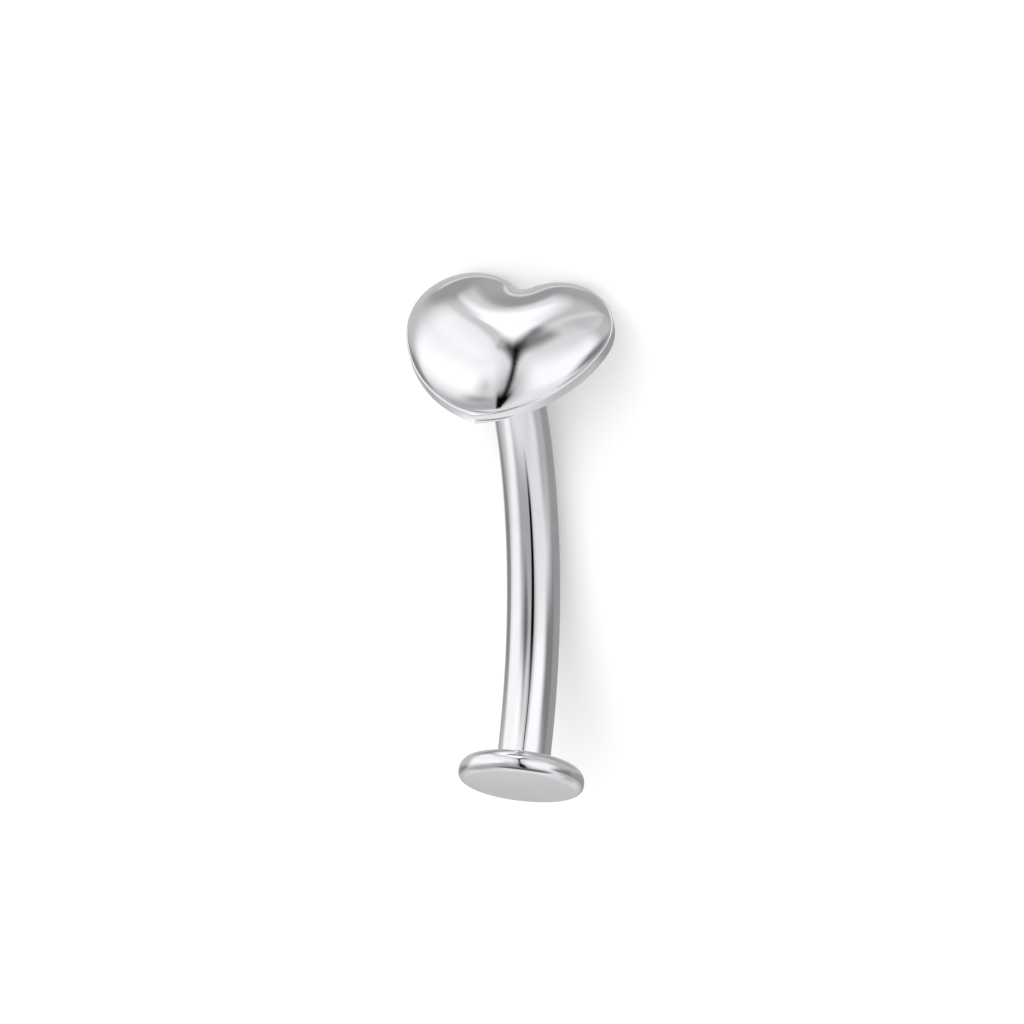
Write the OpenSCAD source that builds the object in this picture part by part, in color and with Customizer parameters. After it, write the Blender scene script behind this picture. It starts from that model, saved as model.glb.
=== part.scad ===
// Curved ring for a navel piercing: a bent bar with a flat disc on its lower end
// and a domed heart that pulls off its upper end. Millimetres, +Z up.
// It lies by itself on the bend of the bar and the back edges of the two lobes,
// the heart's face turned up and toward -Y, the surface at Z = 0.

/* [Bar] */
// Bar diameter, 14 gauge
bar_d = 1.6; // [1.2:0.1:2]
// Bend radius on the centre line of the bar
bend_r = 12; // [9:0.1:16]
// Angle that the bend turns through
bend_deg = 65.2; // [50:0.2:80]

/* [Disc end] */
// Disc diameter
disc_d = 3.8; // [3:0.05:5]
// Disc thickness
disc_t = 0.76; // [0.7:0.02:1.2]
// Rounding of the edge on the flat outer face
disc_face_round = 0.26; // [0.1:0.02:0.34]
// Rounding of the edge that faces the skin
disc_skin_round = 0.42; // [0.1:0.02:0.42]

/* [Heart wall] */
// Heart width over both lobes
heart_w = 6.4; // [5.6:0.1:8]
// Lobe radius
lobe_r = 1.86; // [1.6:0.02:2.2]
// Distance from the lobe centres down to the tip
tip_reach = 3.58; // [3:0.02:4.5]
// Radius of the two long sides
side_r = 4.2; // [3.8:0.1:8]
// Radius of the tip
tip_r = 0.3; // [0.26:0.02:0.6]
// Radius of the fillet in the cleft
cleft_r = 0.3; // [0.1:0.02:0.6]
// Height of the straight wall
wall_h = 0.38; // [0.3:0.02:1]

/* [Heart dome] */
// Dome height above the wall
dome_h = 1.3; // [0.6:0.05:2]
// Fullness of the dome, lower is steeper at its foot and flatter on top
dome_power = 0.55; // [0.5:0.01:0.8]
// Step from the wall in to the foot of the dome
foot_step = 0.04; // [0.02:0.01:0.1]

/* [Assembly] */
// Distance from the lobe centres down to the middle of the bar
bar_drop = 0.55; // [0:0.05:1]
// Turn of the heart about the bar
heart_turn = 5.1; // [0:0.1:10]
// Diameter of the hidden post that holds the heart on the bar
post_d = 0.8; // [0.6:0.05:0.9]
// Length of the post inside the bar
post_in_bar = 1.7; // [1:0.1:1.8]
// Length of the post inside the heart
post_in_heart = 0.8; // [0.5:0.05:1]
// Gap round the post and between the heart and the bar
fit_gap = 0.03; // [0.02:0.01:0.06]

/* [Hidden] */
$fn = 96;
bar_r = bar_d / 2;
bore_d = post_d + 2 * fit_gap;

// centres of the circles that the heart's outline is made of
lobe_x = heart_w / 2 - lobe_r;
tip_y = tip_r - tip_reach;
cleft_y = sqrt(pow(lobe_r + cleft_r, 2) - pow(lobe_x, 2));
to_tip = [-lobe_x, tip_y];
along = (pow(side_r - lobe_r, 2) - pow(side_r - tip_r, 2) + to_tip * to_tip) / (2 * norm(to_tip));
across = sqrt(pow(side_r - lobe_r, 2) - pow(along, 2));
side_c = [lobe_x, 0] + (along * to_tip + across * [to_tip.y, -to_tip.x]) / norm(to_tip);

// directions in which neighbouring circles touch
cleft_a = atan2(cleft_y, -lobe_x);
lobe_a = atan2(-side_c.y, lobe_x - side_c.x);
tip_a = atan2(tip_y - side_c.y, -side_c.x);

// lean at which both lobes and the bend of the bar touch the surface together: its cosine,
// found from a first guess in a few rounds
GUESS = 0.9;
ROUNDS = 6;
reach = bend_r * cos(heart_turn) + bar_drop + lobe_r;
function settle(c, rounds) = rounds == 0 ? c
    : settle((bend_r * sqrt(1 - pow(c * sin(heart_turn), 2)) + bar_r + fit_gap * sqrt(1 - c * c)) / reach,
        rounds - 1);
lean_c = settle(GUESS, ROUNDS);
lift = lobe_r * lean_c;

// distance from the lobe centres back to the middle of the part's depth
box_mid = 6.66;

// dome mesh: insets of its first rings, then shares of the way in to the top
RIM = [0.01, 0.035, 0.08, 0.14, 0.2];
SHARES = [0.9, 0.79, 0.67, 0.54, 0.41, 0.28, 0.14];
// steps along the cleft, the lobe, the side and the tip on one half of the outline
STEPS = [2, 26, 26, 3];
// how many times finer the dome's foot is sampled than it is meshed
FINER = 4;
// power of the soft distance, and what its sum comes to one unit in from a straight foot
POWER = 7;
STRAIGHT = 16 / 15;
// where the dome is highest, and how far its mesh reaches down into the wall
dome_top = [0, -0.8];
sink = 0.1;
// how far a cutter reaches past the face that it opens, and a wedge past an arc, as a factor
past_face = 1;
past_arc = 2;

// points of the outline, moved in by a distance, with even steps along the arcs
function arc(c, r, a0, a1, n, k) = [for (i = [0:n - 1]) let (a = a0 + (a1 - a0) * (i + k) / n)
    c + r * [cos(a), sin(a)]];
function half(inset, d, k) = concat(
    arc([0, cleft_y], cleft_r + inset, -90, cleft_a - 180, STEPS[0] * d, k),
    arc([lobe_x, 0], lobe_r - inset, cleft_a, lobe_a, STEPS[1] * d, k),
    arc(side_c, side_r - inset, lobe_a, tip_a, STEPS[2] * d, k),
    arc([0, tip_y], tip_r - inset, tip_a, -90, STEPS[3] * d, k));
function flip(pts) = [for (i = [len(pts) - 1:-1:0]) [-pts[i].x, pts[i].y]];
function outline(inset) = let (h = half(inset, 1, 0)) concat(h, [[0, tip_y - tip_r + inset]],
    flip([for (i = [1:len(h) - 1]) h[i]]));

// samples of the foot, each with the length of outline that it stands for
function steps(r, a0, a1, n) = [for (i = [1:n]) abs(a1 - a0) * PI / 180 * r / n];
function lengths(d) = concat(
    steps(cleft_r + foot_step, -90, cleft_a - 180, STEPS[0] * d),
    steps(lobe_r - foot_step, cleft_a, lobe_a, STEPS[1] * d),
    steps(side_r - foot_step, lobe_a, tip_a, STEPS[2] * d),
    steps(tip_r - foot_step, tip_a, -90, STEPS[3] * d));

// soft distance from the foot: a high inverse power of the distance, averaged along it
function near(v) = pow(v * v, -POWER / 2);
function depth(p, foot, w) = pow(STRAIGHT / (w * [for (q = foot)
    near(p - q) + near([p.x + q.x, p.y - q.y])]), 1 / (POWER - 1));

module heart_plan() {
    difference() {
        union() {
            for (s = [-1, 1])
                scale([s, 1]) {
                    translate([lobe_x, 0]) circle(lobe_r);
                    side_sector();
                }
            translate([0, tip_y]) circle(tip_r);
            polygon([[-lobe_x, 0], [0, tip_y], [lobe_x, 0], [0, cleft_y]]);
        }
        translate([0, cleft_y]) circle(cleft_r);
    }
}

// right-hand side: the piece of a large disc between the lobe and the tip
module side_sector() {
    intersection() {
        translate(side_c) circle(side_r);
        polygon([[0, 0], [0, tip_y], [0, tip_y] + tip_r * past_arc * [cos(tip_a), sin(tip_a)],
            side_c + side_r * past_arc * [cos((lobe_a + tip_a) / 2), sin((lobe_a + tip_a) / 2)],
            [lobe_x, 0] + lobe_r * past_arc * [cos(lobe_a), sin(lobe_a)], [lobe_x, 0]]);
    }
}

module dome() {
    foot = half(foot_step, FINER, 0.5);
    w = lengths(FINER);
    top = depth(dome_top, foot, w);
    edge = outline(foot_step + RIM[len(RIM) - 1]);
    n = len(edge);
    last = RIM[len(RIM) - 1];
    swell = [for (p = edge) depth(p, foot, w) / last - 1];
    base = [for (p = outline(foot_step)) [p.x, p.y, wall_h - sink]];
    rim = [for (d = RIM) let (ring = outline(foot_step + d)) [for (i = [0:n - 1])
        [ring[i].x, ring[i].y, wall_h + dome_h * pow(d * (1 + swell[i] * d / last) / top, dome_power)]]];
    inner = [for (s = SHARES) [for (p = edge) let (q = dome_top + s * (p - dome_top))
        [q.x, q.y, wall_h + dome_h * pow(depth(q, foot, w) / top, dome_power)]]];
    rings = concat([base], rim, inner);
    k = len(rings);
    pts = concat([for (ring = rings) for (p = ring) p],
        [[dome_top.x, dome_top.y, wall_h + dome_h], [dome_top.x, dome_top.y, wall_h - sink]]);
    sides = [for (r = [0:k - 2]) for (i = [0:n - 1]) let (a = r * n + i, b = r * n + (i + 1) % n)
        each [[a, b, b + n], [a, b + n, a + n]]];
    caps = [for (i = [0:n - 1]) let (j = (i + 1) % n)
        each [[(k - 1) * n + i, (k - 1) * n + j, k * n], [j, i, k * n + 1]]];
    polyhedron(pts, concat(sides, caps));
}

// places a part of the bar at an angle along the bend
module on_bend(a) {
    translate([0, -bend_r, 0]) rotate([-a, 0, 0]) translate([0, bend_r, 0]) children();
}

module disc() {
    rotate_extrude() {
        translate([0, -disc_t]) square([disc_d / 2 - disc_face_round, disc_t]);
        translate([0, disc_face_round - disc_t])
            square([disc_d / 2, disc_t - disc_face_round - disc_skin_round]);
        translate([disc_d / 2 - disc_face_round, disc_face_round - disc_t]) circle(disc_face_round);
        translate([disc_d / 2 - disc_skin_round, -disc_skin_round]) circle(disc_skin_round);
    }
}

module curved_bar() {
    color("silver") difference() {
        union() {
            translate([0, -bend_r, 0]) rotate([0, -90, 0]) rotate([0, 0, 90])
                rotate_extrude(angle = bend_deg) translate([bend_r, 0]) circle(bar_r);
            on_bend(bend_deg) disc();
        }
        translate([0, 0, -post_in_bar - fit_gap])
            cylinder(h = post_in_bar + fit_gap + past_face, d = bore_d);
    }
}

module heart_end() {
    color("lightgrey") difference() {
        union() {
            linear_extrude(wall_h) heart_plan();
            dome();
        }
        translate([0, -bar_drop, -past_face])
            cylinder(h = post_in_heart + fit_gap + past_face, d = bore_d);
    }
}

module post() {
    color("grey") translate([0, 0, -post_in_bar - fit_gap / 2])
        cylinder(h = post_in_bar + post_in_heart + fit_gap, d = post_d);
}

// puts a piece that is drawn on the bar's own frame under the heart
module under_heart() {
    translate([0, -bar_drop, -fit_gap]) rotate([0, 0, heart_turn]) children();
}

// lays the ring down from the heart's frame: origin between the lobe centres, +Z out of its face
module at_rest() {
    translate([0, -box_mid, lift]) rotate([acos(lean_c) - 90, 0, 180]) children();
}

at_rest() under_heart() curved_bar();
at_rest() heart_end();
at_rest() under_heart() post();
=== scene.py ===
import math
import bmesh
import bpy
import numpy as np
from mathutils import Matrix, Vector


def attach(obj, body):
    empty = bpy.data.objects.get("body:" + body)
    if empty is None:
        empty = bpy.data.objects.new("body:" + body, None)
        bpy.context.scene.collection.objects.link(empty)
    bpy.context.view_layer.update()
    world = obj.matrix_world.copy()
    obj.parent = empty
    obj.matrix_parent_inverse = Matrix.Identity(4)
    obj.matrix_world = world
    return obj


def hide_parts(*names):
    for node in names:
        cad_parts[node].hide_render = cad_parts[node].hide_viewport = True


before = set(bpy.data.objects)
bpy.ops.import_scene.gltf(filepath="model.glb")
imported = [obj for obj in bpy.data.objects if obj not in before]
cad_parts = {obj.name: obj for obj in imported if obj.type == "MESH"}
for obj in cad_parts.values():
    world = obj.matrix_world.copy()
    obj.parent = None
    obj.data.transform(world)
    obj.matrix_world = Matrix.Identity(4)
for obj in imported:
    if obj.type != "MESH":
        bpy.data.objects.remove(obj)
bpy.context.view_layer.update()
print("frame loaded, nodes:", ", ".join(sorted(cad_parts)))

mm = 0.001
scene = bpy.context.scene

# how the ring is put together and how it lies, in millimetres and degrees
ring = {
    "bendRadius": 12.0,
    "bendDegrees": 65.2,
    "barRadius": 0.8,
    "barDrop": 0.55,  # from the lobe centres down to the bar
    "heartTurn": 5.1,
    "fitGap": 0.03,
    "lobeRadius": 1.86,
    "boxMiddle": 6.66,  # from the lobe centres back to the middle of the ring's depth
    "leanGuess": 0.9,
    "leanRounds": 6,
}


def restLean():  # cosine of the lean at which both lobes and the bend of the bar touch the floor
    turn = math.radians(ring["heartTurn"])
    reach = ring["bendRadius"] * math.cos(turn) + ring["barDrop"] + ring["lobeRadius"]
    lean = ring["leanGuess"]
    for _ in range(ring["leanRounds"]):
        bend = ring["bendRadius"] * math.sqrt(1 - (lean * math.sin(turn)) ** 2)
        lean = (bend + ring["barRadius"] + ring["fitGap"] * math.sqrt(1 - lean * lean)) / reach
    return lean


lean = restLean()
heartPlace = (
    Matrix.Translation((0, -ring["boxMiddle"], ring["lobeRadius"] * lean))
    @ Matrix.Rotation(math.pi, 4, "Z")
    @ Matrix.Rotation(math.acos(lean) - math.pi / 2, 4, "X")
)
barPlace = (
    heartPlace
    @ Matrix.Translation((0, -ring["barDrop"], -ring["fitGap"]))
    @ Matrix.Rotation(math.radians(ring["heartTurn"]), 4, "Z")
)
bendCentre = Vector((0, -ring["bendRadius"], 0))
discPlace = (  # at the bar's lower end, on the bar's frame
    Matrix.Translation(bendCentre)
    @ Matrix.Rotation(math.radians(-ring["bendDegrees"]), 4, "X")
    @ Matrix.Translation(-bendCentre)
)


# camera

camera = {
    "lens": 1600,  # long enough that the ring shows no perspective
    "clip": (0.01, 10),  # metres
    "frameWidth": 30.6,  # millimetres across the picture at the heart
    "framePixels": 1024,
    "right": (-0.93599, 0.02524, -0.35111),
    "up": (0.11126, -0.92508, -0.36311),
    "heartPixel": (512.1, 334.7),  # where the middle of the lobe centres shows
}


def makeCamera():
    right = Vector(camera["right"]).normalized()
    up = Vector(camera["up"])
    up = (up - up.dot(right) * right).normalized()
    toward = right.cross(up)
    data = bpy.data.cameras.new("camera")
    data.lens = camera["lens"]
    data.clip_start, data.clip_end = camera["clip"]
    distance = camera["frameWidth"] * camera["lens"] / data.sensor_width
    perPixel = camera["frameWidth"] / camera["framePixels"]
    half = camera["framePixels"] / 2
    px, py = camera["heartPixel"]
    aim = heartPlace.translation + (half - px) * perPixel * right - (half - py) * perPixel * up
    place = Matrix((right, up, toward)).transposed().to_4x4()
    place.translation = (aim + toward * distance) * mm
    body = bpy.data.objects.new("camera", data)
    body.matrix_world = place
    scene.collection.objects.link(body)
    scene.camera = body
    return right, up, toward


viewRight, viewUp, viewToward = makeCamera()
print("camera placed, looking down", round(math.degrees(math.asin(viewToward.z)), 1), "degrees")


# materials

steel = {
    "light": (0.86, 0.865, 0.885, 1),
    "dark": (0.80, 0.805, 0.83, 1),
    "cloudSize": 0.35,  # noise scale per millimetre
    "cloudDetail": 3.0,
    "cloudRange": (0.35, 0.65),  # noise at the dark and at the light tint
    "markSize": 14.0,  # noise scale per millimetre
    "markDetail": 6.0,
    "markRoughness": 0.6,
    "markRange": (0.3, 0.7),  # noise at the smooth and at the rough finish
    "markStretch": (1, 1, 1),
    "smooth": 0.03,
    "rough": 0.07,
    "relief": 0.1,
    "reliefDepth": 0.0005,  # millimetres
}
barFinish = {
    "light": (0.83, 0.835, 0.855, 1),
    "dark": (0.77, 0.775, 0.80, 1),
    "markStretch": (3, 0.25, 0.25),  # fine across the bar and long down it
}
postFinish = {"smooth": 0.25, "rough": 0.4, "markStretch": (0.2, 3, 3), "relief": 0.4}


def addNode(tree, kind, **values):
    node = tree.nodes.new(kind)
    for name, value in values.items():
        if name in node.inputs:
            node.inputs[name].default_value = value
        else:
            setattr(node, name, value)
    return node


def makeSteel(name, look):
    material = bpy.data.materials.new(name)
    material.use_nodes = True
    tree = material.node_tree
    link = tree.links.new
    shader = tree.nodes["Principled BSDF"]
    shader.inputs["Metallic"].default_value = 1.0
    place = addNode(tree, "ShaderNodeTexCoord")
    inMm = addNode(tree, "ShaderNodeMapping", Scale=(1 / mm, 1 / mm, 1 / mm))
    link(place.outputs["Object"], inMm.inputs["Vector"])
    # faint cloudiness of the polish
    cloud = addNode(
        tree, "ShaderNodeTexNoise", Scale=look["cloudSize"], Detail=look["cloudDetail"],
    )
    link(inMm.outputs["Vector"], cloud.inputs["Vector"])
    tint = addNode(tree, "ShaderNodeValToRGB")
    for end, noise, colour in zip((0, 1), look["cloudRange"], (look["dark"], look["light"])):
        tint.color_ramp.elements[end].position = noise
        tint.color_ramp.elements[end].color = colour
    link(cloud.outputs["Fac"], tint.inputs["Fac"])
    link(tint.outputs["Color"], shader.inputs["Base Color"])
    # hair-fine polishing marks
    lines = addNode(tree, "ShaderNodeMapping", Scale=look["markStretch"])
    link(inMm.outputs["Vector"], lines.inputs["Vector"])
    marks = addNode(
        tree, "ShaderNodeTexNoise", Scale=look["markSize"], Detail=look["markDetail"],
        Roughness=look["markRoughness"],
    )
    link(lines.outputs["Vector"], marks.inputs["Vector"])
    gloss = addNode(tree, "ShaderNodeMapRange")
    gloss.inputs["From Min"].default_value = look["markRange"][0]
    gloss.inputs["From Max"].default_value = look["markRange"][1]
    gloss.inputs["To Min"].default_value = look["smooth"]
    gloss.inputs["To Max"].default_value = look["rough"]
    link(marks.outputs["Fac"], gloss.inputs["Value"])
    link(gloss.outputs["Result"], shader.inputs["Roughness"])
    relief = addNode(
        tree, "ShaderNodeBump", Strength=look["relief"], Distance=look["reliefDepth"] * mm,
    )
    link(marks.outputs["Fac"], relief.inputs["Height"])
    link(relief.outputs["Normal"], shader.inputs["Normal"])
    return material


heartSteel = makeSteel("polished heart steel", steel)
barSteel = makeSteel("polished bar steel", {**steel, **barFinish})
postSteel = makeSteel("turned post steel", {**steel, **postFinish})
print("materials made")


# pieces

meshing = {
    "mergeDistance": 0.00002,  # millimetres
    "levelTolerance": 0.0005,  # millimetres
    "sharpDegrees": 30,  # an edge that turns further shows as an edge
}


def mergeDoubles(bm):
    bmesh.ops.remove_doubles(bm, verts=bm.verts, dist=meshing["mergeDistance"])


def vertsOf(made):
    return [g for g in made if isinstance(g, bmesh.types.BMVert)]


def edgesOf(made):
    return [g for g in made if isinstance(g, bmesh.types.BMEdge)]


def edgesAt(height, edges, place=Matrix()):  # those that lie at a height of a place's own frame
    back = place.inverted()
    return [e for e in edges if all(
        abs((back @ v.co).z - height) < meshing["levelTolerance"] for v in e.verts)]


def straightTo(bm, vert, point):
    new = bmesh.ops.extrude_vert_indiv(bm, verts=[vert])["verts"][0]
    new.co = Vector(point)
    return new


def roundTo(bm, vert, centre, degrees, steps):  # in the XZ plane
    made = bmesh.ops.spin(
        bm, geom=[vert], cent=centre, axis=(0, 1, 0), angle=math.radians(degrees), steps=steps,
        use_merge=False, use_duplicate=False,
    )
    return vertsOf(made["geom_last"])[0]


def addPiece(name, bm, place, material, node):
    mergeDoubles(bm)
    bmesh.ops.recalc_face_normals(bm, faces=bm.faces)
    bm.transform(Matrix.Scale(mm, 4) @ place)
    for face in bm.faces:
        face.smooth = True
    for edge in bm.edges:
        edge.smooth = edge.calc_face_angle(0) < math.radians(meshing["sharpDegrees"])
    mesh = bpy.data.meshes.new(name)
    bm.to_mesh(mesh)
    bm.free()
    mesh.materials.append(material)
    piece = bpy.data.objects.new(name, mesh)
    scene.collection.objects.link(piece)
    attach(piece, "root")
    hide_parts(node)
    print(name, "made,", len(mesh.polygons), "faces")


# the bar with its disc, in millimetres on the bar's own frame: the bar's top at Z 0, and the disc's
# inner face at Z 0 before the disc is put on the lower end

disc = {
    "radius": 1.9,
    "thickness": 0.76,
    "faceRound": 0.26,
    "skinRound": 0.42,
    "crown": 0.03,  # how far the middle of the outer face stands out
    "faceSteps": 16,
    "faceRoundSteps": 16,
    "skinRoundSteps": 20,
    "skinSteps": 4,
}
bar = {
    "sides": 96,
    "bendSteps": 170,
    "fillet": 0.06,  # where the bar meets the disc
    "filletSteps": 6,
    "boreRadius": 0.43,
    "boreDepth": 1.73,
}


def drawDisc(bm):  # half profile, from the middle of the outer face to the fillet on the bar
    radius, thickness, crown = disc["radius"], disc["thickness"], disc["crown"]
    faceEdge, skinEdge = radius - disc["faceRound"], radius - disc["skinRound"]
    neck = ring["barRadius"] + bar["fillet"]
    v = bm.verts.new((0, 0, -thickness))
    for i in range(1, disc["faceSteps"] + 1):
        share = i / disc["faceSteps"]
        v = straightTo(bm, v, (faceEdge * share, 0, crown * share ** 2 - thickness))
    centre = (faceEdge, 0, disc["faceRound"] - thickness + crown)
    v = roundTo(bm, v, centre, -90, disc["faceRoundSteps"])
    v = straightTo(bm, v, (radius, 0, -disc["skinRound"]))
    v = roundTo(bm, v, (skinEdge, 0, -disc["skinRound"]), -90, disc["skinRoundSteps"])
    for i in range(1, disc["skinSteps"] + 1):
        v = straightTo(bm, v, (skinEdge + (neck - skinEdge) * i / disc["skinSteps"], 0, 0))
    roundTo(bm, v, (neck, 0, bar["fillet"]), 90, bar["filletSteps"])


def makeBar():
    bm = bmesh.new()
    drawDisc(bm)
    bmesh.ops.spin(
        bm, geom=bm.verts[:] + bm.edges[:], cent=(0, 0, 0), axis=(0, 0, 1), angle=2 * math.pi,
        steps=bar["sides"], use_merge=True, use_duplicate=False,
    )
    mergeDoubles(bm)
    bm.transform(discPlace)
    # the bar, spun up along its bend from the fillet to the heart
    rim = edgesAt(bar["fillet"], [e for e in bm.edges if e.is_boundary], discPlace)
    rimVerts = list(dict.fromkeys(v for e in rim for v in e.verts))
    bend = math.radians(ring["bendDegrees"]) - bar["fillet"] / ring["bendRadius"]
    made = bmesh.ops.spin(
        bm, geom=rimVerts + rim, cent=bendCentre, axis=(1, 0, 0), angle=bend,
        steps=bar["bendSteps"], use_merge=False, use_duplicate=False,
    )
    # its flat top with the post's bore
    top = edgesOf(made["geom_last"])
    for depth in (0, -bar["boreDepth"]):
        made = bmesh.ops.extrude_edge_only(bm, edges=top)
        for v in vertsOf(made["geom"]):
            v.co = Vector((v.co.x, v.co.y, 0)).normalized() * bar["boreRadius"]
            v.co.z = depth
        top = edgesAt(depth, edgesOf(made["geom"]))
    bmesh.ops.edgeloop_fill(bm, edges=top)
    addPiece("curvedBar", bm, barPlace, barSteel, "curved_bar")


makeBar()


# the heart, in millimetres on its own frame: X across, Y up to the cleft, Z out of its face

heart = {
    "width": 6.4,
    "lobeRadius": ring["lobeRadius"],
    "tipReach": 3.58,  # from the lobe centres down to the tip
    "sideRadius": 4.2,
    "tipRadius": 0.3,
    "domeTipRadius": 2.0,  # the dome's foot is rounder at the tip than the wall
    "cleftRadius": 0.3,
    "wallHeight": 0.38,
    "wallRound": 0.03,
    "domeHeight": 1.3,
    "domePower": 0.55,  # lower is steeper at the foot and flatter on top
    "domeTop": (0, -0.8),
    "footStep": 0.04,  # from the wall in to the foot of the dome
    "rimDepth": 0.2,  # the dome's rings follow its foot this far in
    "boreDepth": 0.83,
    "outlineSpacing": 0.04,
    "outlineSteps": 12,  # at least, along each arc
    "tipShare": 0.9,  # of the dome's rounder tip, where the wall still has its long side
    "edgeRings": 5,
    "rimRings": 14,
    "innerRings": 60,
    "boreSides": 64,
}
# The dome rises with a soft distance from its foot: a high inverse power of the distance, averaged
# along the foot. Its scale is what that comes to, one unit in from a straight foot.
softness = {"power": 7, "scale": 16 / 15, "spacing": 0.02, "batch": 2000}

mirror = np.array((-1, 1))
lobeX = heart["width"] / 2 - heart["lobeRadius"]
tipY = heart["tipRadius"] - heart["tipReach"]
cleftY = math.sqrt((heart["lobeRadius"] + heart["cleftRadius"]) ** 2 - lobeX ** 2)


def sideCentre():  # the long side's circle holds the lobe's and the tip's, and touches both
    toTip = Vector((-lobeX, tipY))
    fromLobe = heart["sideRadius"] - heart["lobeRadius"]
    fromTip = heart["sideRadius"] - heart["tipRadius"]
    along = (fromLobe ** 2 - fromTip ** 2 + toTip.length_squared) / (2 * toTip.length)
    across = math.sqrt(fromLobe ** 2 - along ** 2)
    away = along * toTip + across * Vector((toTip.y, -toTip.x))
    return Vector((lobeX, 0)) + away / toTip.length


side = sideCentre()


def tipCircle(radius):  # its centre between the long sides, and the direction where it leaves them
    reach = heart["sideRadius"] - radius
    centre = Vector((0, side.y - math.sqrt(reach ** 2 - side.x ** 2)))
    return centre, math.atan2(centre.y - side.y, -side.x)


def outlineArcs(tipRadius):
    # the right half from the cleft down, with the wall's tip or the dome's: centre, radius, first
    # and last direction, and 1 where the arc bulges outwards or -1 where it doesn't
    down = -math.pi / 2
    cleft = math.atan2(cleftY, -lobeX)
    lobe = math.atan2(-side.y, lobeX - side.x)
    centre, leave = tipCircle(tipRadius)
    domeLeave = tipCircle(heart["domeTipRadius"])[1]
    if leave < domeLeave:  # the wall's long side goes on past the dome's
        turn = leave
        stretch = (side, heart["sideRadius"], domeLeave, turn, 1)
    else:
        turn = domeLeave + heart["tipShare"] * (down - domeLeave)
        stretch = (centre, tipRadius, domeLeave, turn, 1)
    return [
        (Vector((0, cleftY)), heart["cleftRadius"], down, cleft - math.pi, -1),
        (Vector((lobeX, 0)), heart["lobeRadius"], cleft, lobe, 1),
        (side, heart["sideRadius"], lobe, domeLeave, 1),
        stretch,
        (centre, tipRadius, turn, down, 1),
    ]


def halfOutline(tipRadius, spacing, offset):
    # points down the right half, each so far into its step, with their outward directions and the
    # lengths that they stand for; the wall sets the number of steps along each arc, so that its
    # points and the dome's go in pairs
    counts = [
        max(heart["outlineSteps"], round(abs(last - first) * radius / spacing))
        for _, radius, first, last, _ in outlineArcs(heart["tipRadius"])
    ]
    points, outward, lengths = [], [], []
    for (centre, radius, first, last, sense), count in zip(outlineArcs(tipRadius), counts):
        for i in range(count):
            a = first + (last - first) * (i + offset) / count
            direction = np.array((math.cos(a), math.sin(a)))
            points.append(np.array(centre) + radius * direction)
            outward.append(sense * direction)
            lengths.append(abs(last - first) * radius / count)
    return np.array(points), np.array(outward), np.array(lengths)


def wholeOutline(tipRadius):  # points once round the heart, with their outward directions
    points, outward, _ = halfOutline(tipRadius, heart["outlineSpacing"], 0)
    tip = (0, tipCircle(tipRadius)[0].y - tipRadius)
    points = np.vstack((points, (tip,), points[:0:-1] * mirror))
    outward = np.vstack((outward, ((0, -1),), outward[:0:-1] * mirror))
    return points, outward


def sampleFoot():  # points along the dome's foot, with the length that each stands for
    foot, outward, lengths = halfOutline(heart["domeTipRadius"], softness["spacing"], 0.5)
    foot = foot - outward * heart["footStep"]
    return np.vstack((foot, foot[::-1] * mirror)), np.concatenate((lengths, lengths[::-1]))


samples, sampleLengths = sampleFoot()


def softDepth(points):
    power, batch = softness["power"], softness["batch"]
    depth = np.empty(len(points))
    for i in range(0, len(points), batch):
        squared = ((points[i:i + batch, None] - samples[None]) ** 2).sum(-1)
        total = (sampleLengths * squared ** (-power / 2)).sum(1)
        depth[i:i + batch] = (softness["scale"] / total) ** (1 / (power - 1))
    return depth


def heartRings():  # points and heights, ring by ring from the back edge to the dome's top
    rim, outward = wholeOutline(heart["tipRadius"])
    foot, footOutward = wholeOutline(heart["domeTipRadius"])
    step, wall, edge = heart["footStep"], heart["wallHeight"], heart["wallRound"]
    rimDepth, power = heart["rimDepth"], heart["domePower"]
    top = np.array(heart["domeTop"])
    topDepth = softDepth(top[None])[0]

    def domeHeight(depth):
        return wall + heart["domeHeight"] * (depth / topDepth) ** power

    # the wall with both its edges eased
    turns = [math.radians(90 * i / heart["edgeRings"]) for i in range(heart["edgeRings"] + 1)]
    back = [(1 - math.sin(a), edge * (1 - math.cos(a))) for a in turns]
    front = [(1 - math.cos(a), wall - edge * (1 - math.sin(a))) for a in turns]
    rings = [(rim - outward * edge * inset, height) for inset, height in back + front]
    # the dome's rings keep beside its foot, closest where it is steepest
    rings.append((foot - footOutward * step, wall))
    inner = foot - footOutward * (step + rimDepth)
    swell = softDepth(inner) / rimDepth - 1
    rimHeight = (rimDepth / topDepth) ** power
    for i in range(1, heart["rimRings"] + 1):
        depth = topDepth * (rimHeight * i / heart["rimRings"]) ** (1 / power)
        height = domeHeight(depth * (1 + swell * depth / rimDepth))
        rings.append((foot - footOutward * (step + depth), height))
    # and further in they draw together at its top
    for i in range(1, heart["innerRings"] + 1):
        points = top + (inner - top) * (1 - i / heart["innerRings"])
        rings.append((points, domeHeight(softDepth(points))))
    return rings


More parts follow.
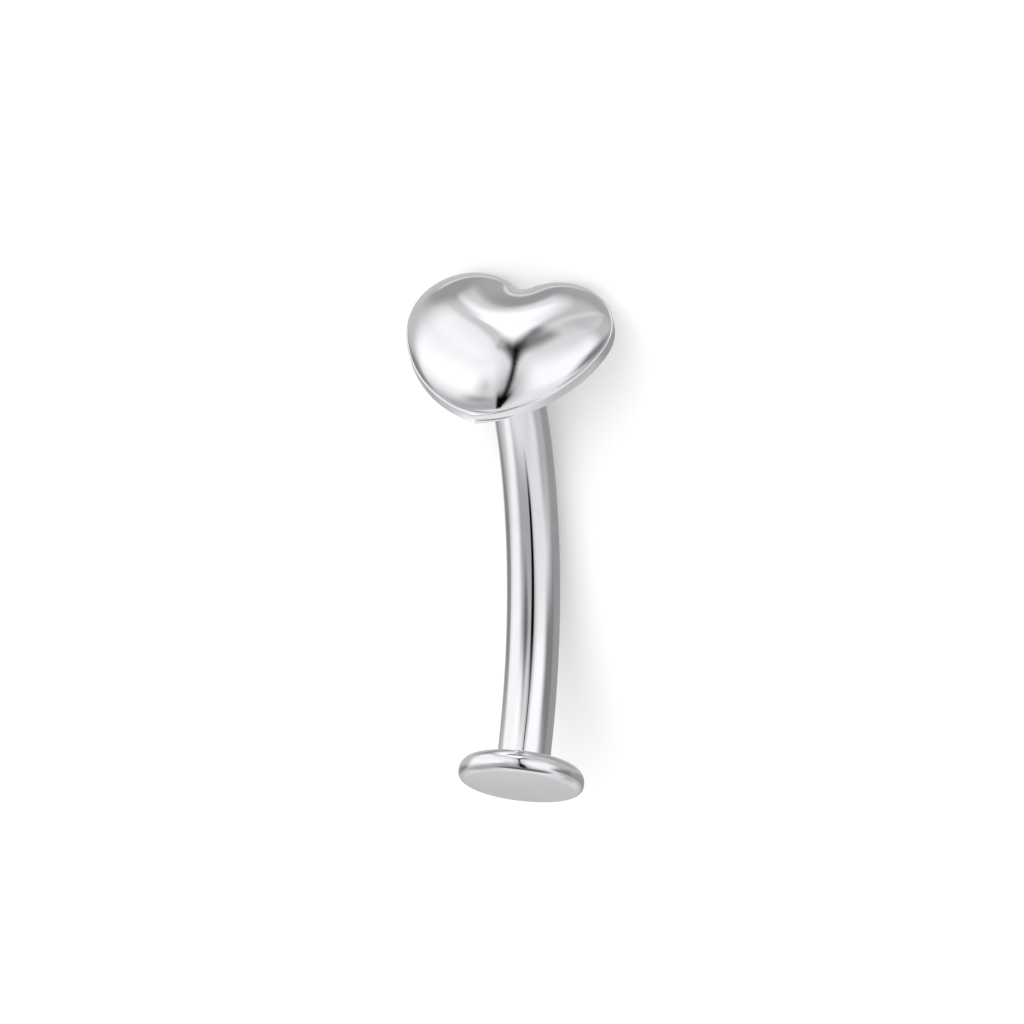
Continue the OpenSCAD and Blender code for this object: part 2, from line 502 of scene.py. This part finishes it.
def makeHeart():
    rings = heartRings()
    count = len(rings[0][0])
    bm = bmesh.new()
    bmesh.ops.create_grid(bm, x_segments=count, y_segments=len(rings) - 1, size=1)
    bm.verts.ensure_lookup_table()
    for row, (points, heights) in enumerate(rings):
        heights = np.broadcast_to(heights, (count,))
        for column in range(count + 1):  # the last column closes the ring on the first
            x, y = points[column % count]
            bm.verts[row * (count + 1) + column].co = (x, y, heights[column % count])
    mergeDoubles(bm)
    # the flat back with the post's blind bore
    back = [e for e in bm.edges if e.is_boundary]
    bmesh.ops.create_circle(
        bm, segments=heart["boreSides"], radius=bar["boreRadius"], cap_ends=False,
        matrix=Matrix.Translation((0, -ring["barDrop"], 0)),
    )
    mouth = [e for e in bm.edges if e.is_wire]
    bmesh.ops.triangle_fill(bm, edges=back + mouth, use_beauty=True)
    made = bmesh.ops.extrude_edge_only(bm, edges=mouth)
    bmesh.ops.translate(bm, verts=vertsOf(made["geom"]), vec=(0, 0, heart["boreDepth"]))
    bmesh.ops.edgeloop_fill(bm, edges=edgesAt(heart["boreDepth"], edgesOf(made["geom"])))
    addPiece("heartEnd", bm, heartPlace, heartSteel, "heart_end")


makeHeart()

postMesh = bpy.data.objects["post"].data
postMesh.materials.clear()
postMesh.materials.append(postSteel)
print("post given its steel")


# floor and light

studio = {
    "floorSize": 600,  # millimetres
    "floorTone": 0.95,
    "floorRough": 0.6,
    "floorFill": 1.1,  # plain light that only the floor gets
    "backdrop": 0.97,
    "keyStrength": 0.9,
    "keySpread": 60,  # degrees across, so its shadows stay soft
    "keyFrom": (-0.55, 0.3, 0.8),  # across, up and toward the camera
}


def flatMesh(name, width, height, material):
    bm = bmesh.new()
    bmesh.ops.create_grid(bm, x_segments=1, y_segments=1, size=0.5)
    bmesh.ops.scale(bm, verts=bm.verts, vec=(width * mm, height * mm, 1))
    mesh = bpy.data.meshes.new(name)
    bm.to_mesh(mesh)
    bm.free()
    mesh.materials.append(material)
    return mesh


def makeFloor():
    material = bpy.data.materials.new("pale floor")
    material.use_nodes = True
    shader = material.node_tree.nodes["Principled BSDF"]
    tone = studio["floorTone"]
    shader.inputs["Base Color"].default_value = (tone, tone, tone, 1)
    shader.inputs["Roughness"].default_value = studio["floorRough"]
    mesh = flatMesh("floor", studio["floorSize"], studio["floorSize"], material)
    floor = bpy.data.objects.new("floor", mesh)
    floor.visible_glossy = False  # the steel mirrors the studio below the horizon instead
    scene.collection.objects.link(floor)


def makeKey():
    across, up, toward = studio["keyFrom"]
    source = (across * viewRight + up * viewUp + toward * viewToward).normalized()
    light = bpy.data.lights.new("key", "SUN")
    light.energy = studio["keyStrength"]
    light.angle = math.radians(studio["keySpread"])
    body = bpy.data.objects.new("key", light)
    body.rotation_euler = source.to_track_quat("Z", "Y").to_euler()
    body.visible_glossy = False
    scene.collection.objects.link(body)


makeFloor()
makeKey()
print("floor and key light made")

# What the steel mirrors: soft boxes, the gaps between them and the grey room, each laid over the
# ones before it. A box is its middle across and up, half width, half height, the softness of both,
# the slant of its sides and the tone that it gives on the steel, of 255. Directions are degrees
# across and up from the line to the camera; overhead they are degrees across and toward the
# camera from straight up. An oval has its middle, both radii, softness, squareness and tone.
roomTone = 188
sideBoxes = {
    "under the ring": (0, -80, 180, 20, 1, 26, 0, 228),
    "left below": (-58, -30, 54, 22, 30, 30, 0, 169),
    "right low": (50, -36, 40, 24, 24, 24, 0, 230),
    "right low grey": (86, -26, 18, 12, 26, 16, 0, 178),
    "right high": (64, 52, 52, 10, 24, 8, 0, 206),
    "left high": (-74, 48, 46, 9, 30, 6, 0, 222),
    "left box": (-62, 22, 54, 22, 34, 64, 0, 266),
    "left dim high": (-26, 14, 10, 12, 26, 20, 0, 200),
    "left dim": (-34, -8, 20, 9, 34, 20, 0, 158),
    "far left": (-135, -4, 19, 13, 20, 16, 0, 135),
    "right box": (38, 11, 34, 27, 30, 34, -0.45, 255),
    "right grey": (83, -1, 26, 13, 26, 18, 0, 128),
    "right edge": (138, -5, 36, 14, 24, 14, 0, 152),
    "back below": (180, -50, 60, 16, 20, 22, 0, 214),
    "beside the camera": (-4, 2, 7, 28, 22, 26, 0, 165),
}
overheadOvals = {
    "rim": (-6, -5, 31, 53, 0.16, 2, 203),
    "right arm": (4, 39, 14, 8, 1, 1.4, 126),
    "left arm": (-14, 42, 7, 4, 1, 1.4, 172),
    "junction": (-5, 45, 8, 10, 1.1, 1.2, 66),
    "overhead box": (-6, -2, 22.5, 44, 0.2, 1.6, 262),
}
overheadBoxes = {
    "right shade": (24, 0, 15, 30, 24, 12, 0, 192),
    "right line": (30, 2, 2, 34, 9, 16, -0.53, 219),
    "left end": (-30, -12, 7, 14, 12, 24, 0, 206),
    "back shade": (0, -42, 46, 22, 30, 34, 0, 154),
    "toward the cleft": (-2, -18, 4, 10, 12, 24, 0, 224),
}
backBoxes = {
    "back right": (150, 38, 26, 20, 20, 16, 0, 166),
    "back left": (-150, 50, 24, 9, 26, 8, 0, 152),
    "back band": (-166, 20, 44, 14, 30, 12, 0, 190),
    "back line": (-174, 38, 22, 2.5, 16, 5, 0.12, 214),
    "camera gap low": (-2.5, -26, 6.3, 30, 5, 26, -0.05, 4),
    "camera gap": (-3, 14, 1.8, 32, 4, 8, -0.04, 2),
}
steelTone = 0.86  # share of the light that the steel gives back


def toLight(tone):  # radiance that shows on the steel as this tone, by the display's curve
    t = tone / 255
    return (t / 12.92 if t <= 0.04045 else ((t + 0.055) / 1.055) ** 2.4) / steelTone


def makeSky():
    world = bpy.data.worlds.new("studio")
    world.use_nodes = True
    scene.world = world
    tree = world.node_tree
    link = tree.links.new
    place = addNode(tree, "ShaderNodeTexCoord")

    def calc(operation, *values):
        node = addNode(tree, "ShaderNodeMath", operation=operation)
        for socket, value in zip(node.inputs, values):
            if isinstance(value, bpy.types.NodeSocket):
                link(value, socket)
            else:
                socket.default_value = value
        return node.outputs["Value"]

    def along(axis):
        node = addNode(tree, "ShaderNodeVectorMath", operation="DOT_PRODUCT")
        link(place.outputs["Generated"], node.inputs[0])
        node.inputs[1].default_value = axis
        return node.outputs["Value"]

    def angle(a, b):
        return calc("DEGREES", calc("ARCTAN2", a, b))

    def edge(distance, half, soft):  # 1 inside, falling smoothly to 0
        node = addNode(tree, "ShaderNodeMapRange", interpolation_type="SMOOTHSTEP")
        link(distance, node.inputs["Value"])
        node.inputs["From Min"].default_value = half + soft / 2
        node.inputs["From Max"].default_value = half - soft / 2
        return node.outputs["Result"]

    def layOver(light, inside, tone):
        mix = addNode(tree, "ShaderNodeMix", data_type="FLOAT", B=toLight(tone))
        link(inside, mix.inputs["Factor"])
        link(light, mix.inputs["A"])
        return mix.outputs["Result"]

    def layBoxes(light, boxes, fromAcross, fromUp):
        for x, y, halfX, halfY, softX, softY, slant, tone in boxes.values():
            dx = calc("WRAP", calc("SUBTRACT", fromAcross, x), 180, -180)
            dy = calc("SUBTRACT", fromUp, y)
            inside = edge(calc("ABSOLUTE", dy), halfY, softY)
            if halfX < 180:  # a wider box goes all the way round
                sideways = calc("ABSOLUTE", calc("MULTIPLY_ADD", dy, -slant, dx))
                inside = calc("MULTIPLY", inside, edge(sideways, halfX, softX))
            light = layOver(light, inside, tone)
        return light

    def layOvals(light, ovals, fromAcross, fromUp):
        for x, y, radiusX, radiusY, soft, power, tone in ovals.values():
            dx = calc("ABSOLUTE", calc("DIVIDE", calc("SUBTRACT", fromAcross, x), radiusX))
            dy = calc("ABSOLUTE", calc("DIVIDE", calc("SUBTRACT", fromUp, y), radiusY))
            both = calc("ADD", calc("POWER", dx, power), calc("POWER", dy, power))
            light = layOver(light, edge(calc("POWER", both, 1 / power), 1, soft), tone)
        return light

    right, up, toward = along(viewRight), along(viewUp), along(viewToward)
    across, above = angle(right, toward), calc("DEGREES", calc("ARCSINE", up))
    overAcross, overToward = angle(right, up), angle(toward, up)
    light = addNode(tree, "ShaderNodeValue").outputs["Value"]
    light.default_value = toLight(roomTone)
    light = layBoxes(light, sideBoxes, across, above)
    light = layOvals(light, overheadOvals, overAcross, overToward)
    light = layBoxes(light, overheadBoxes, overAcross, overToward)
    light = layBoxes(light, backBoxes, across, above)
    background = tree.nodes["Background"]
    background.inputs["Color"].default_value = (1, 1, 1, 1)
    link(light, background.inputs["Strength"])
    # past the floor lies a plain pale backdrop, and the floor is lit by a plain fill
    path = addNode(tree, "ShaderNodeLightPath")
    shader = background.outputs["Background"]
    for ray, tone in (("Camera", studio["backdrop"]), ("Diffuse", studio["floorFill"])):
        plain = addNode(tree, "ShaderNodeBackground", Color=(tone, tone, tone, 1))
        either = addNode(tree, "ShaderNodeMixShader")
        link(path.outputs["Is " + ray + " Ray"], either.inputs["Fac"])
        link(shader, either.inputs[1])
        link(plain.outputs["Background"], either.inputs[2])
        shader = either.outputs["Shader"]
    link(shader, tree.nodes["World Output"].inputs["Surface"])
    world.cycles.sampling_method = "NONE"


makeSky()
print("sky made")

# Soft oval cards by the ring, seen only in the steel. Each is so many millimetres across, up and
# toward the camera from the disc's middle, and turned so many degrees from facing the camera.
cards = {
    "dark card": {  # a painted reflection of shade: its dim glow darkens the lower edge of the disc's side, in place of the shaded floor
        "across": 0, "up": -3.0, "toward": 3.4, "turn": 0,
        "width": 9, "height": 6, "soft": 0.6, "tone": 96,
    },
    "white card": {  # lights the left side of the bar
        "across": -5, "up": 4.4, "toward": 1.0, "turn": 90,
        "width": 8, "height": 8, "soft": 0.8, "tone": 250,
    },
    "grey card": {  # deepens the shade left of the bar's dark line
        "across": -1.25, "up": 4.2, "toward": 2.4, "turn": 0,
        "width": 1.7, "height": 3.4, "soft": 0.9, "tone": 108,
    },
}


def makeGlow(name, card):  # an oval that fades to nothing at its rim
    material = bpy.data.materials.new(name)
    material.use_nodes = True
    tree = material.node_tree
    tree.nodes.clear()
    link = tree.links.new
    place = addNode(tree, "ShaderNodeTexCoord")
    perRadius = (2 / card["width"] / mm, 2 / card["height"] / mm, 1)
    oval = addNode(tree, "ShaderNodeMapping", Scale=perRadius)
    link(place.outputs["Object"], oval.inputs["Vector"])
    out = addNode(tree, "ShaderNodeVectorMath", operation="LENGTH")
    link(oval.outputs["Vector"], out.inputs[0])
    fade = addNode(tree, "ShaderNodeMapRange", interpolation_type="SMOOTHSTEP")
    fade.inputs["From Min"].default_value = 1
    fade.inputs["From Max"].default_value = 1 - card["soft"]
    link(out.outputs["Value"], fade.inputs["Value"])
    clear = addNode(tree, "ShaderNodeBsdfTransparent")
    glow = addNode(tree, "ShaderNodeEmission", Strength=toLight(card["tone"]))
    mix = addNode(tree, "ShaderNodeMixShader")
    link(fade.outputs["Result"], mix.inputs["Fac"])
    link(clear.outputs["BSDF"], mix.inputs[1])
    link(glow.outputs["Emission"], mix.inputs[2])
    surface = addNode(tree, "ShaderNodeOutputMaterial")
    link(mix.outputs["Shader"], surface.inputs["Surface"])
    return material


def makeCard(name, card):
    mesh = flatMesh(name, card["width"], card["height"], makeGlow(name, card))
    body = bpy.data.objects.new(name, mesh)
    middle = barPlace @ discPlace @ Vector((0, 0, -disc["thickness"] / 2))
    away = card["across"] * viewRight + card["up"] * viewUp + card["toward"] * viewToward
    place = Matrix((viewRight, viewUp, viewToward)).transposed().to_4x4()
    place.translation = (middle + away) * mm
    body.matrix_world = place @ Matrix.Rotation(math.radians(card["turn"]), 4, "Y")
    body.visible_camera = body.visible_diffuse = body.visible_shadow = False
    scene.collection.objects.link(body)


for name, card in cards.items():
    makeCard(name, card)
scene.view_settings.view_transform = "Standard"
print("cards made")
